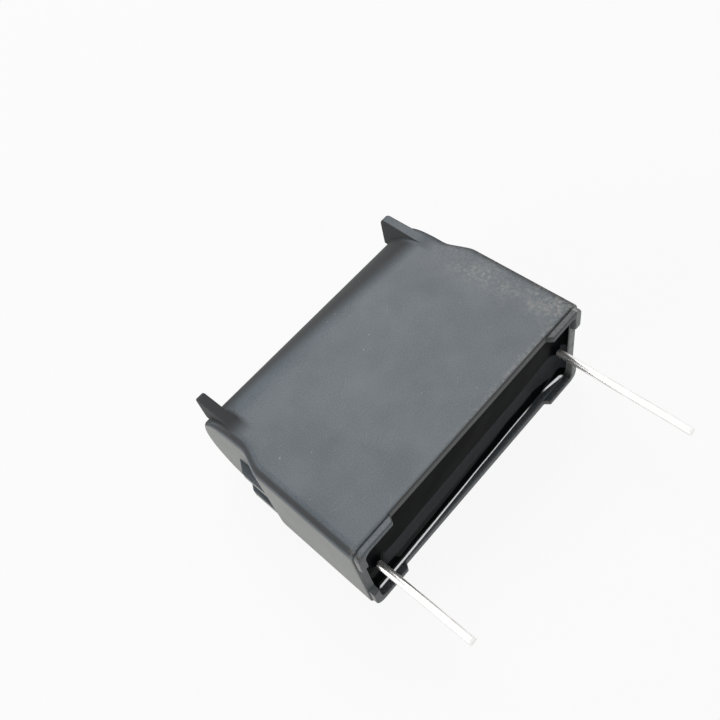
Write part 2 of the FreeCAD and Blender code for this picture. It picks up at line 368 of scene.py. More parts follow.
@dataclass(frozen=True)
class MouldedPlastic:
    """Black moulded plastic, scuffed grey on its flat faces and black on its back, with painted
    light and shade: lighter end faces, dark ears and rounded edges, a painted shadow on the back
    and pale painted glints by the far rim.
    """

    scuffed: Colour = (0.064, 0.081, 0.095)
    cloudy: Colour = (0.028, 0.040, 0.050)
    # Painted light: the end faces get a lighter, warmer copy of the grey, standing in for the
    # light and floor reflection that fall on them.
    painted_lit_end: Colour = (0.160, 0.165, 0.156)
    painted_lit_end_cloudy: Colour = (0.110, 0.116, 0.111)
    black: Colour = (0.007, 0.008, 0.009)
    rubbed: Colour = (0.195, 0.190, 0.180)
    # Pale colour of the real dust specks and of the painted glints.
    pale_dust_and_glint: Colour = (0.30, 0.31, 0.31)
    specular: float = 0.65
    ior: float = 1.5
    satin: float = 0.53
    matt: float = 0.56
    coarse: float = 0.90
    sheen: Noise = Noise(0.5)
    grain: Noise = Noise(7.0, 4.0, 0.65)
    grain_depth: float = 0.018
    grain_strength: float = 0.5
    drifts: Noise = Noise(0.16)
    drift_share: float = 0.5
    scuffs: Span = (0.56, 0.94)
    # Where the painted light of the end faces goes: the faces that look along the case.
    painted_lit_end_zones: Zones = (Zone(Measure.SIDEWARD, 0.37, 0.17), Zone(Measure.ENDWARD, 0.50, 0.75))
    back: Span = (13.2, 15.6)
    # Painted shadow: the back's black reaches further down towards the far end.
    painted_shadow_slant: float = 0.09
    # Painted shade: the rounded edges between the broad sides and the ends, found by which way
    # they face, turn dark.
    painted_shade_roundings: Zones = (
        Zone(Measure.ENDWARD, 0.26, 0.60, 0.0, 0.92),
        Zone(Measure.SIDEWARD, 0.37, 0.63),
    )
    # Painted shade: the ears turn black as if shaded.
    painted_shade_ears: Zones = (
        Zone(Measure.OUTWARD, 12.2, 12.9),
        Zone(Measure.OUTWARD, 14.5, 14.2),
        Zone(Measure.Y, 11.0, 13.6),
    )
    # Painted light: on the far ears, the faces that look up keep most of the lighter grey.
    painted_lit_ear_tops: Zones = (Zone(Measure.X, 0.0, 1.0), Zone(Measure.UPWARD, 0.75, 0.95))
    painted_lit_tops_share: float = 0.85
    crumbs: Noise = Noise(3.2, 6.0, 0.72)
    crumbs_part: Span = (0.40, 0.66)
    worn_fields: Noise = Noise(0.28, 2.0)
    worn_least: float = 0.35
    worn_end: Zones = (
        Zone(Measure.X, 9.5, 16.0),
        Zone(Measure.Y, 13.0, 9.0, 0.0, 1.2),
        Zone(Measure.Z, 9.5, 12.9, 0.12, 1.0),
    )
    worn_rim: Zone = Zone(Measure.Y, -3.0, -4.1, 0.0, 0.5)
    worn_rim_low: Zone = Zone(Measure.Z, 7.0, 5.0)
    worn_rim_end: Zone = Zone(Measure.X, -14.8, -15.1)
    worn_lip: Zones = (
        Zone(Measure.Y, -3.1, -3.9),
        Zone(Measure.Z, 12.3, 12.8),
        Zone(Measure.X, -6.0, 9.0, 0.1, 0.9),
    )
    smear: Zones = (
        Zone(Measure.Y, -3.82, -3.95),
        Zone(Measure.Z, 8.0, 9.0),
        Zone(Measure.X, -11.4, -11.1),
        Zone(Measure.X, 11.1, 11.6, 1.0, 0.6),
    )
    # Painted highlight: pale glints on the inside of the far end wall, just above the rim.
    glint_noise: Noise = Noise(0.9, 3.0, 0.6)
    glint_part: Span = (0.35, 0.5)
    glint_shares: Span = (0.2, 0.9)
    glints: Zones = (Zone(Measure.Y, -3.8, -3.95), Zone(Measure.X, 14.85, 15.05))
    hair_noises: tuple[Noise, Noise] = (
        Noise(1.0, 0.0, 0.5, (0.36, 5.5, 1.0), 38.0),
        Noise(1.0, 0.0, 0.5, (0.45, 6.5, 1.0), -24.0),
    )
    hairs: Zones = (Zone(Measure.Y, 12.5, 11.5), Zone(Measure.OUTWARD, 14.7, 14.2))
    hair_share: float = 0.3
    hair_depth: float = 0.01
    hair_strength: float = 0.4
    speck_noise: Noise = Noise(2.6, 2.0, 0.4)
    speck_share: float = 0.6

    def material(self) -> Material:
        """Builds the finish.

        Returns:
            The material.
        """
        graph = Finish("case_plastic", Specular_IOR_Level=self.specular, IOR=self.ior)
        grain = graph.cloud(self.grain)
        drifts = graph.times(graph.cloud(self.drifts), self.drift_share)
        scuffs = graph.spread(graph.plus(drifts, grain), self.scuffs)
        # Painted light: the end faces take the lighter copy of the grey.
        painted_lit_end_face = graph.mask(*self.painted_lit_end_zones)
        colour = graph.blend(
            painted_lit_end_face,
            graph.blend(scuffs, self.cloudy, self.scuffed),
            graph.blend(scuffs, self.painted_lit_end_cloudy, self.painted_lit_end),
        )
        # Black back, and painted shade on the ears and the rounded edges.
        black_or_painted_shade = self._black_back_and_painted_shade(graph, painted_lit_end_face)
        glints = graph.spread(graph.cloud(self.glint_noise), self.glint_part, *self.glint_shares)
        hairs = [graph.spread(graph.cloud(kind), Tone.HAIRS) for kind in self.hair_noises]
        hairs = graph.times(graph.most(*hairs), graph.mask(*self.hairs))
        specks = graph.spread(graph.cloud(self.speck_noise), Tone.SPECKS, 0.0, self.speck_share)
        layers = (
            # Black back and painted shade.
            (black_or_painted_shade, self.black),
            (self._worn(graph), self.rubbed),
            (graph.mask(*self.smear), self.black),
            # Painted highlight: the pale glints by the far rim.
            (graph.times(glints, graph.mask(*self.glints)), self.pale_dust_and_glint),
            (graph.times(hairs, self.hair_share), self.rubbed),
            (specks, self.pale_dust_and_glint),
        )
        for amount, tint in layers:
            colour = graph.blend(amount, colour, tint)
        sheen = graph.spread(graph.cloud(self.sheen), Tone.SOFT, self.satin, self.matt)
        roughness = graph.plus(sheen, graph.times(black_or_painted_shade, self.coarse - self.matt))
        relief = graph.bump(grain, self.grain_depth, self.grain_strength)
        normal = graph.bump(hairs, self.hair_depth, self.hair_strength, relief)
        return graph.finish(colour, roughness, normal)

    def _black_back_and_painted_shade(self, graph: Finish, painted_lit_end_face: Socket) -> Socket:
        """Finds the black arched back, with a painted shadow towards the far end, and the
        painted shade on the ears and the rounded edges, with painted light left on the far ears'
        upward faces.

        Args:
            graph: The material.
            painted_lit_end_face: 1 on the faces that look along the case.

        Returns:
            1 where the plastic is black or painted shade.
        """
        # Painted shadow: the black of the back reaches further down towards the far end.
        slant = graph.times(graph.measure(Measure.X), self.painted_shadow_slant)
        back = graph.spread(graph.plus(graph.measure(Measure.Y), slant), self.back)
        back = graph.times(back, graph.spread(painted_lit_end_face, (1.0, 0.0)))
        # Painted shade on the ears, with painted light left on the far ears' upward faces.
        painted_shade_ears = graph.mask(*self.painted_shade_ears)
        lit_ear_tops = graph.times(graph.mask(*self.painted_lit_ear_tops), painted_shade_ears)
        under_lit_ear_tops = graph.plus(graph.times(lit_ear_tops, -self.painted_lit_tops_share), 1.0)
        black = graph.times(graph.most(back, painted_shade_ears), under_lit_ear_tops)
        # Painted shade on the rounded edges.
        return graph.most(black, graph.mask(*self.painted_shade_roundings))

    def _worn(self, graph: Finish) -> Socket:
        """Finds the pale rubbed places along the far end's edges and round the rim.

        Args:
            graph: The material.

        Returns:
            How much is rubbed, from 0 to about 1.
        """
        crumbs = graph.spread(graph.cloud(self.crumbs), self.crumbs_part)
        fields = graph.spread(graph.cloud(self.worn_fields), Tone.PATCHES)
        fields = graph.spread(fields, (0.0, 1.0), self.worn_least, 1.0)
        end = graph.times(graph.mask(*self.worn_end), fields)
        place = graph.most(graph.mask(self.worn_rim_low), graph.mask(self.worn_rim_end))
        rim = graph.times(graph.mask(self.worn_rim), place)
        return graph.times(graph.most(end, rim, graph.mask(*self.worn_lip)), crumbs)


@dataclass(frozen=True)
class PouredResin:
    """Black casting resin with a painted reflection band along it, which is also rougher, and a
    pale, mostly metallic strip by the lower wall that stands in for the highlight of the
    meniscus.
    """

    black: Colour = (0.004, 0.0045, 0.005)
    haze: Colour = (0.006, 0.007, 0.008)
    # Painted reflection: a grey band along the resin stands in for the floor's reflection.
    painted_reflection_band: Colour = (0.060, 0.065, 0.073)
    mirror: Colour = (0.90, 0.90, 0.92)
    specular: float = 0.003
    ior: float = 1.54
    haze_noise: Noise = Noise(0.5, 4.0, 0.6)
    gloss: float = 0.04
    dull: float = 0.09
    gloss_noise: Noise = Noise(2.2, 4.0)
    ripple: Noise = Noise(0.35, 2.0)
    ripple_depth: float = 0.04
    ripple_strength: float = 0.5
    # Where the painted reflection band lies, and how much rougher it is.
    reflection_band_turn: Span = (9.0, 14.0)
    reflection_band_middles: Span = (4.75, 4.2)
    reflection_band_halves: Span = (1.45, 2.3)
    reflection_band_edge: Span = (0.0, -0.25)
    reflection_band_start: Zone = Zone(Measure.X, -13.1, -12.4)
    reflection_band_dulling: float = 0.25
    wave: Noise = Noise(1.0, 2.0, 0.5, (0.22, 0.01, 0.01))
    wave_width: float = 0.6
    # Painted highlight: a pale, mostly metallic strip along the lower wall, fading near the far
    # end and back at it, stands in for the meniscus highlight.
    highlight_strip_edge: Zone = Zone(Measure.Z, 1.15, 1.06, 0.0, 0.80)
    highlight_strip_run: Zone = Zone(Measure.X, 10.2, 8.6, 0.1, 1.0)
    highlight_strip_curl: Zone = Zone(Measure.X, 11.4, 12.4)
    roots: Zones = (Zone(Measure.OUTWARD, 12.7, 13.4), Zone(Measure.Z, 4.8, 5.8))
    roots_dulling: float = 0.35

    def material(self) -> Material:
        """Builds the finish.

        Returns:
            The material.
        """
        graph = Finish("potting_epoxy", Specular_IOR_Level=self.specular, IOR=self.ior)
        haze = graph.spread(graph.cloud(self.haze_noise), Tone.SOFT)
        colour = graph.blend(haze, self.black, self.haze)
        # Painted reflection band, which is also made rougher below.
        painted_reflection_band = self._find_painted_reflection_band(graph)
        colour = graph.blend(painted_reflection_band, colour, self.painted_reflection_band)
        # Painted highlight: the pale metallic strip by the lower wall.
        length = graph.most(graph.mask(self.highlight_strip_run), graph.mask(self.highlight_strip_curl))
        highlight_strip = graph.times(graph.mask(self.highlight_strip_edge), length)
        colour = graph.blend(highlight_strip, colour, self.mirror)
        graph.feed(graph.shader.inputs["Metallic"], highlight_strip)
        roughness = graph.plus(
            graph.spread(graph.cloud(self.gloss_noise), Tone.FIRM, self.gloss, self.dull),
            graph.times(painted_reflection_band, self.reflection_band_dulling),
            graph.times(graph.mask(*self.roots), self.roots_dulling),
        )
        ripple = graph.bump(graph.cloud(self.ripple), self.ripple_depth, self.ripple_strength)
        return graph.finish(colour, roughness, ripple)

    def _find_painted_reflection_band(self, graph: Finish) -> Socket:
        """Finds the painted reflection band, which runs along the resin and widens at its far
        end.

        Args:
            graph: The material.

        Returns:
            1 in the painted reflection band.
        """
        along = graph.measure(Measure.X)
        middle = graph.spread(along, self.reflection_band_turn, *self.reflection_band_middles)
        half = graph.spread(along, self.reflection_band_turn, *self.reflection_band_halves)
        wave = graph.times(graph.cloud(self.wave), self.wave_width)
        waved = graph.plus(graph.measure(Measure.Z), wave)
        off = graph.less(waved, middle, self.wave_width / 2)
        across = graph.spread(graph.less(graph.size(off), half), self.reflection_band_edge)
        return graph.times(across, graph.mask(self.reflection_band_start))


@dataclass(frozen=True)
class TexturedFinish:
    """A finish whose colour and roughness go from first to last value with one noise.

    Its relief follows the same noise, or lines of its own.
    """

    name: str
    colours: tuple[Colour, Colour]
    roughness: Span
    kind: Noise
    depth: float
    strength: float
    metallic: float = 1.0
    lines: Noise | None = None

    def material(self) -> Material:
        """Builds the finish.

        Returns:
            The material.
        """
        graph = Finish(self.name, Metallic=self.metallic)
        cloud = graph.cloud(self.kind)
        relief = cloud if self.lines is None else graph.cloud(self.lines)
        colour = graph.blend(graph.spread(cloud, Tone.SOFT), *self.colours)
        roughness = graph.spread(cloud, Tone.SOFT, *self.roughness)
        return graph.finish(colour, roughness, graph.bump(relief, self.depth, self.strength))


TURNS = Noise(1.0, 2.0, 0.5, (0.05, 6.0, 6.0))

TINNED_WIRE = TexturedFinish(
    name="tinned_wire",
    colours=((0.93, 0.925, 0.91), (0.76, 0.745, 0.72)),
    roughness=(0.25, 0.36),
    kind=Noise(0.45),
    depth=0.008,
    strength=0.08,
    lines=Noise(1.0, 1.0, 0.5, (4.0, 0.08, 4.0)),
)
SPRAYED_ZINC = TexturedFinish(
    name="sprayed_zinc",
    colours=((0.30, 0.30, 0.32), (0.52, 0.52, 0.54)),
    roughness=(0.75, 0.5),
    kind=Noise(7.0, 4.0, 0.7),
    depth=0.08,
    strength=0.8,
)
SOFT_SOLDER = TexturedFinish(
    name="solder",
    colours=((0.66, 0.66, 0.68), (0.44, 0.44, 0.47)),
    roughness=(0.25, 0.5),
    kind=Noise(1.6, 4.0, 0.6),
    depth=0.04,
    strength=0.5,
)
METALLISED_FILM = TexturedFinish(
    name="metallised_film",
    colours=((0.45, 0.45, 0.47), (0.70, 0.70, 0.71)),
    roughness=(0.18, 0.34),
    metallic=0.9,
    kind=TURNS,
    depth=0.02,
    strength=0.4,
)
PLAIN_FILM = replace(
    METALLISED_FILM,
    name="plain_film",
    colours=((0.62, 0.60, 0.52), (0.80, 0.79, 0.72)),
    metallic=0.0,
)


class Form:
    """A closed mesh while it is being built, with its points given in millimetres."""

    MERGE = 0.0005 * MM
    THINNEST = 0.0002 * MM
    NORMAL_WEIGHT = 60

    def __init__(self) -> None:
        """Starts an empty form."""
        self.mesh = bmesh.new()

    def ring(self, places: Iterable[Place]) -> list[Vertex]:
        """Adds points, each given as in spot()."""
        return [self.mesh.verts.new(spot(*place)) for place in places]

    def face(self, corners: Sequence[Vertex]) -> None:
        """Adds a face between points."""
        self.mesh.faces.new(corners)

    def skin(self, rings: Sequence[Sequence[Vertex]]) -> None:
        """Joins each closed ring of points to the next one.

        Args:
            rings: The rings, each with as many points as the others.
        """
        for ring, following in zip(rings, rings[1:]):
            for i in range(len(ring)):
                j = (i + 1) % len(ring)
                self.face((ring[i], ring[j], following[j], following[i]))

    def loft(self, loops: Iterable[Iterable[Place]]) -> None:
        """Joins closed loops of places and closes the first one and the last.

        Args:
            loops: The loops, each with as many places as the others.
        """
        rings = [self.ring(loop) for loop in loops]
        self.skin(rings)
        self.face(rings[0])
        self.face(rings[-1])

    def soften(self, radius: float, sharper_than: float = 25.0, steps: int = 3) -> None:
        """Rounds the sharp edges.

        Args:
            radius: The width of the rounding.
            sharper_than: Only edges with a greater angle than this, in degrees, are rounded.
            steps: How many faces make up the rounding.
        """
        self.settle()
        limit = math.radians(sharper_than)
        sharp = [edge for edge in self.mesh.edges if edge.calc_face_angle(0.0) > limit]
        bmesh.ops.bevel(
            self.mesh,
            geom=sharp,
            offset=radius * MM,
            segments=steps,
            profile=0.5,
            affect="EDGES",
            clamp_overlap=True,
        )

    def settle(self) -> None:
        """Merges points that coincide and turns every face outwards."""
        bmesh.ops.remove_doubles(self.mesh, verts=self.mesh.verts, dist=self.MERGE)
        bmesh.ops.dissolve_degenerate(self.mesh, edges=self.mesh.edges, dist=self.THINNEST)
        bmesh.ops.recalc_face_normals(self.mesh, faces=self.mesh.faces)

    def take(self, other: "Form") -> None:
        """Takes in another form's mesh, as a part of this one that overlaps it.

        Args:
            other: The other form, which is used up.
        """
        other.settle()
        data = bpy.data.meshes.new("taken")
        other.mesh.to_mesh(data)
        other.mesh.free()
        self.mesh.from_mesh(data)
        bpy.data.meshes.remove(data)

    def piece(self, name: str, stands_for: str, material: Material, slot: Slot) -> None:
        """Makes the finished form a piece that rides on the part's one body.

        Args:
            name: The piece's name.
            stands_for: The solid of the frame that it is shown in place of.
            material: Its finish.
            slot: The record's slot that the finish stands for; not used.
        """
        bmesh.ops.recalc_face_normals(self.mesh, faces=self.mesh.faces)
        data = bpy.data.meshes.new(name)
        self.mesh.to_mesh(data)
        self.mesh.free()
        for polygon in data.polygons:
            polygon.use_smooth = True
        piece = bpy.data.objects.new(name, data)
        bpy.context.scene.collection.objects.link(piece)
        data.materials.append(material)
        evened = piece.modifiers.new("even_normals", "WEIGHTED_NORMAL")
        evened.weight = self.NORMAL_WEIGHT
        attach(piece, BODY)
        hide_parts(stands_for)
        log.info("%s: %d faces", name, len(data.polygons))


@dataclass(frozen=True)
class Layout:
    """Sizes that more than one sub-assembly uses, in millimetres."""

    thickness: float = 13.0
    height: float = 23.0
    lead_pitch: float = 27.5
    lead_diameter: float = 0.8
    near_reach: float = 10.1
    far_reach: float = 13.7
    foot_height: float = 0.6
    side_wall: float = 1.0
    end_wall: float = 1.0
    inner_corner: float = 0.8

    @property
    def middle(self) -> float:
        """Half the thickness, and so the height of the case's mid-plane as it lies."""
        return self.thickness / 2

    @property
    def half_inside(self) -> float:
        """Half the thickness of the hollow."""
        return self.middle - self.side_wall

    @property
    def rim(self) -> float:
        """The Y of the plane of the feet."""
        return (self.far_reach - self.height) / 2


LAYOUT = Layout()


def spot(x: float, height: float, z: float) -> Vector:
    """A point in metres, from X, the height over the plane of the feet and Z off mid-plane."""
    return Vector((x, LAYOUT.rim + height, LAYOUT.middle + z)) * MM


def smooth(value: float) -> float:
    """A value from 0 to 1 with its two ends eased."""
    clamped = min(max(value, 0.0), 1.0)
    return clamped * clamped * (3 - 2 * clamped)


def quarter(steps: int) -> list[Span]:
    """How far the points of a quarter circle lie back from its two outer lines, as shares."""
    angles = [math.pi / 2 * i / steps for i in range(steps + 1)]
    return [(1 - math.sin(angle), 1 - math.cos(angle)) for angle in angles]


@dataclass(frozen=True)
class Level:
    """One loop round the case, in millimetres, whose corners lean by an angle in radians."""

    height: float
    half_x: float
    half_z: float
    corner: float
    lean: float = 0.0

    def moved_in(self, distance: float, height: float) -> "Level":
        """The loop that lies a distance inside this one, at another height."""
        half_x, half_z = self.half_x - distance, self.half_z - distance
        return Level(height, half_x, half_z, self.corner - distance, self.lean)

    def ring(self, columns: int, rows: int, turns: int) -> list[Place]:
        """Walks round the loop.

        Args:
            columns: Faces along a broad side.
            rows: Faces across an end wall.
            turns: Faces round a corner.

        Returns:
            Its places, in order round the case.
        """
        sine, cosine = math.sin(self.lean), math.cos(self.lean)
        corner = [(self.corner * back, self.corner * inward) for back, inward in quarter(turns)]
        straight = self.half_x - self.corner
        ring = []
        for side in (1, -1):
            ahead = [(straight * (2 * i / columns - 1), 0.0) for i in range(columns + 1)]
            ahead += [(self.half_x - back, inward) for back, inward in corner[1:]]
            for x, inward in ahead:
                z = side * (self.half_z - inward * cosine)
                ring.append((side * x, self.height - inward * sine, z))
            height = self.height - self.corner * sine
            for i in range(1, rows):
                z = side * (self.half_z - self.corner * cosine) * (1 - 2 * i / rows)
                ring.append((side * self.half_x, height, z))
            for back, inward in corner[:0:-1]:
                z = -side * (self.half_z - inward * cosine)
                ring.append((side * (self.half_x - back), self.height - inward * sine, z))
        return ring


@dataclass(frozen=True)
class Skin:
    """The outer face of the box or that of its hollow, in millimetres.

    The rise and the top are those of the arched back, and the corner is the upright corners'
    radius.
    """

    end_inset: float
    half_z: float
    rise: float
    top: float
    corner: float


@dataclass
class Case:
    """The moulded box with its arched back, ears, ribs and feet."""

    rim_half_length: float = 16.0
    ledge_half_length: float = 15.8
    band_half_length: float = 14.8
    ledge_low: float = 12.9
    ledge_high: float = 15.4
    ledge_round: float = 0.9
    ledge_samples: int = 9
    ledge_steps: int = 18
    wall_steps: tuple[float, ...] = (0.0, 0.3, 4.0)
    last_wall_step: float = 2.0
    corner: float = 1.2
    arch_rise: float = 6.0
    arch_edge: float = 0.45
    arch_fade: float = 0.45
    arch_wall: float = 1.1
    arch_steps: int = 28
    rim_round: float = 0.13
    columns: int = 24
    rows: int = 10
    turns: int = 8
    ear_setback: float = 0.9
    ear_thickness: float = 1.0
    ear_reach: float = 3.9
    ear_draft: float = 0.1
    ear_corner: float = 0.7
    ear_turns: int = 6
    ear_foot: float = 15.5
    ear_round: float = 0.16
    ear_inset: float = 0.02
    rib_width: float = 1.1
    rib_places: tuple[float, ...] = (-2.6, 1.4)
    rib_shoulder: float = 16.0
    rib_shoulder_inset: float = 0.05
    rib_top: float = 17.4
    rib_root: float = 0.5
    rib_start: float = 0.4
    rib_round: float = 0.16
    foot_length: float = 4.6
    foot_return: float = 3.2
    foot_setback: float = 0.2
    foot_slant: float = 0.5
    foot_sink: float = 0.1
    foot_round: float = 0.1
    foot_sharp: float = 40.0
    foot_round_steps: int = 2
    finish: MouldedPlastic = MouldedPlastic()

    def build(self) -> None:
        """Builds the case in place of the frame's plain solid."""
        form = self._shell()
        for end in End:
            for side in Side:
                form.take(self._ear(end, side))
                form.take(self._foot(end, side))
            for place in self.rib_places:
                form.take(self._rib(end, place))
        form.piece("moulded_case", "case", self.finish.material(), Slot.CASE)

    @property
    def half_opening(self) -> float:
        """Half the length of the opening at the rim."""
        return self.rim_half_length - LAYOUT.end_wall

    def half_length(self, height: float) -> float:
        """Finds half the length of the case, with the corners of its ledge eased.

        Args:
            height: At which height.

        Returns:
            The half length.
        """
        steps = [i / (self.ledge_samples - 1) - 0.5 for i in range(self.ledge_samples)]
        lengths = [self._plain_half_length(height + self.ledge_round * step) for step in steps]
        return sum(lengths) / len(lengths)

    def _plain_half_length(self, height: float) -> float:
        """Finds half the length of the case, with its ledge in straight lines.

        Args:
            height: At which height.

        Returns:
            The half length.
        """
        low = LAYOUT.foot_height
        if height <= self.ledge_low:
            share = (height - low) / (self.ledge_low - low)
            return self.rim_half_length + share * (self.ledge_half_length - self.rim_half_length)
        share = min((height - self.ledge_low) / (self.ledge_high - self.ledge_low), 1.0)
        return self.ledge_half_length + share * (self.band_half_length - self.ledge_half_length)

    @property
    def outside(self) -> Skin:
        """The outer face of the box."""
        return Skin(0.0, LAYOUT.middle, self.arch_rise, LAYOUT.height, self.corner)

    @property
    def inside(self) -> Skin:
        """The face of the hollow."""
        rise, top = self.arch_rise - LAYOUT.side_wall, LAYOUT.height - self.arch_wall
        return Skin(LAYOUT.end_wall, LAYOUT.half_inside, rise, top, LAYOUT.inner_corner)

    def levels(self, skin: Skin, start: float) -> list[Level]:
        """Finds the loops of one skin.

        Args:
            skin: The skin.
            start: The height of the first loop.

        Returns:
            The loops, from there up to the top of the arched back.
        """
        first, last = self.ledge_low - self.ledge_round, self.ledge_high + self.ledge_round
        steps, levels = self.ledge_steps, []
        heights = [start + step for step in self.wall_steps] + [first - self.last_wall_step]
        for height in heights + [first + (last - first) * i / steps for i in range(steps + 1)]:
            half_x = self.half_length(height) - skin.end_inset
            levels.append(Level(height, half_x, skin.half_z, skin.corner))
        radius = (skin.half_z**2 + skin.rise**2) / (2 * skin.rise)
        centre, half_x = skin.top - radius, self.band_half_length - skin.end_inset
        begin = math.asin((radius - skin.rise) / radius)
        for i in range(self.arch_steps + 1):
            lean = begin + (math.pi / 2 - begin) * i / self.arch_steps
            fade = smooth(1 - i / (self.arch_fade * self.arch_steps))
            edge = self.arch_edge + fade * (skin.corner - self.arch_edge)
            height = centre + radius * math.sin(lean)
            levels.append(Level(height, half_x, radius * math.cos(lean), edge, lean))
        return levels

    def rings(self, form: Form, levels: Iterable[Level]) -> list[list[Vertex]]:
        """Adds the points of some loops, with as many points to each as the others have."""
        return [form.ring(level.ring(self.columns, self.rows, self.turns)) for level in levels]

    def _shell(self) -> Form:
        """Makes the hollow box, as one closed skin that turns over at the rim.

        Returns:
            The form.
        """
        low, soft = LAYOUT.foot_height, self.rim_round
        outside = self.levels(self.outside, low + soft)
        inside = self.levels(self.inside, low + soft)
        diagonal = soft * (1 - math.sin(math.pi / 4))
        lip = [
            outside[0].moved_in(diagonal, low + diagonal),
            outside[0].moved_in(soft, low),
            inside[0].moved_in(-soft, low),
            inside[0].moved_in(-diagonal, low + diagonal),
        ]
        form = Form()
        form.skin(self.rings(form, outside[::-1] + lip + inside))
        form.settle()
        return form

    def _ear(self, end: End, side: Side) -> Form:
        """Makes one upright plate beside the arched back.

        Args:
            end: The end that it stands at.
            side: The broad side that it stands at.

        Returns:
            The form.
        """
        flank = LAYOUT.middle - self.ear_inset
        inner = LAYOUT.middle - self.ear_reach
        top, radius = LAYOUT.height, self.ear_corner
        outline = [(self.ear_foot, inner), (self.ear_foot, flank)]
        for down, inward in quarter(self.ear_turns):
            outline.append((top - radius * down, flank - radius * inward))
        outline.append((top, inner))
        outer = self.band_half_length - self.ear_setback
        spread = self.ear_draft / (top - self.ear_foot)
        loops = []
        for face, inset in ((1, 0.0), (-1, self.ear_thickness)):
            places = [(outer - inset + face * spread * (top - y), y, z) for y, z in outline]
            loops.append([(end.value * x, y, side.value * z) for x, y, z in places])
        form = Form()
        form.loft(loops)
        form.soften(self.ear_round)
        return form

    def _rib(self, end: End, middle: float) -> Form:
        """Makes one rib across the ledge of an end wall.

        Args:
            end: The end that it is on.
            middle: The Z of its middle.

        Returns:
            The form.
        """
        root = self.band_half_length - self.rib_root
        start = self.ledge_low - self.rib_start
        outline = [
            (root, start),
            (self.half_length(start), start),
            (self._plain_half_length(self.ledge_low), self.ledge_low),
            (self.ledge_half_length - self.rib_shoulder_inset, self.rib_shoulder),
            (self.band_half_length, self.rib_top),
            (root, self.rib_top),
        ]
        flanks = (middle - self.rib_width / 2, middle + self.rib_width / 2)
        form = Form()
        form.loft([[(end.value * x, height, z) for x, height in outline] for z in flanks])
        form.soften(self.rib_round)
        return form

    def _foot(self, end: End, side: Side) -> Form:
        """Makes one low lip round a corner of the rim, with slanted ends.

        Args:
            end: The end that it is at.
            side: The broad side that it is at.

        Returns:
            The form.
        """
        out_x = self.rim_half_length - self.foot_setback
        out_z = LAYOUT.middle - self.foot_setback
        in_x, in_z = self.half_opening, LAYOUT.half_inside
        radius, inner = self.corner - self.foot_setback, LAYOUT.inner_corner
        root = LAYOUT.foot_height + self.foot_sink
        lines = []
        for height, slant in ((0.0, 0.0), (root, self.foot_slant)):
            start_x = self.rim_half_length - self.foot_length - slant
            last_z = LAYOUT.middle - self.foot_return - slant
            outer, within = [(start_x, out_z)], [(start_x, in_z)]
            for back, inward in quarter(self.turns):
                outer.append((out_x - radius * back, out_z - radius * inward))
                within.append((in_x - inner * back, in_z - inner * inward))
            for line in (outer + [(out_x, last_z)], within + [(in_x, last_z)]):
                lines.append([(end.value * x, height, side.value * z) for x, z in line])
        outer_low, inner_low, outer_high, inner_high = lines
        form = Form()
        form.loft(zip(outer_low, inner_low, inner_high, outer_high))
        form.soften(self.foot_round, self.foot_sharp, self.foot_round_steps)
        return form


